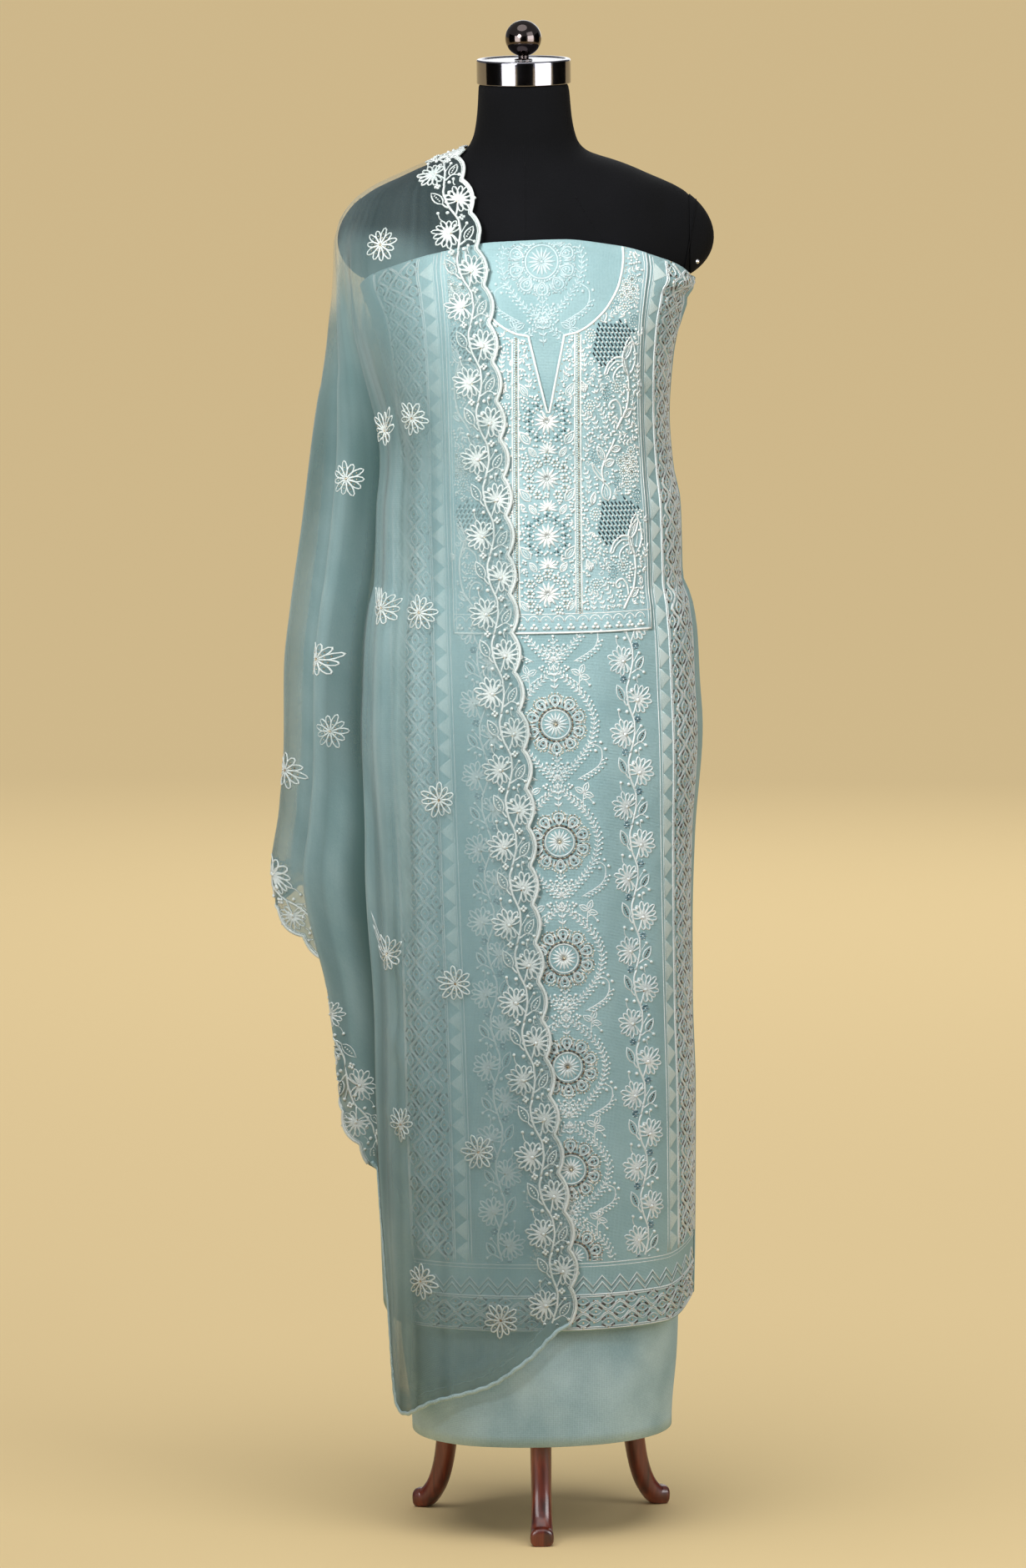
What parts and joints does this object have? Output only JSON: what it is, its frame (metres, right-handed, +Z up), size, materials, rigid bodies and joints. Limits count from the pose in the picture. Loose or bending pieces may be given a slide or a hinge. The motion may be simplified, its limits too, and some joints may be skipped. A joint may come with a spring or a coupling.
{
  "type": "salwar kameez suit on a limbless dress form",
  "caption": "Unstitched salwar kameez suit: embroidered kameez length, plain salwar length and sheer scalloped dupatta, draped on a limbless dress form on a tripod stand.",
  "frame": {"origin": "on the floor, under the middle of the bounding box", "axes": "+Z up the stand's axis, -Y the way the wearer faces, +X the wearer's left"},
  "size_m": [0.4714, 0.3538, 1.5832],
  "materials": {
    "jersey": "matt black jersey stretched over the form",
    "chrome": "polished",
    "smoked_chrome": "polished, smoked dark",
    "mahogany": "reddish stain under gloss varnish",
    "salwar_cotton": "plain weave, sea green",
    "kameez_georgette": "georgette, sea green, embroidered on the front",
    "yoke_embroidery": "densely embroidered and beaded",
    "dupatta_chiffon": "sheer chiffon with corded, embroidered edges"
  },
  "bodies": {
    "root": {"dress_form": "jersey", "arm_cap_left": "jersey", "arm_cap_right": "jersey", "neck_cap": "chrome", "neck_knob": "smoked_chrome", "stand_pole": "mahogany", "stand_hub": "mahogany", "leg_front": "mahogany", "leg_left": "mahogany", "leg_right": "mahogany", "salwar_wrap": "salwar_cotton", "kameez_front": "kameez_georgette", "kameez_back": "kameez_georgette", "kameez_yoke": "yoke_embroidery", "dupatta": "dupatta_chiffon"}
  },
  "joints": []
}
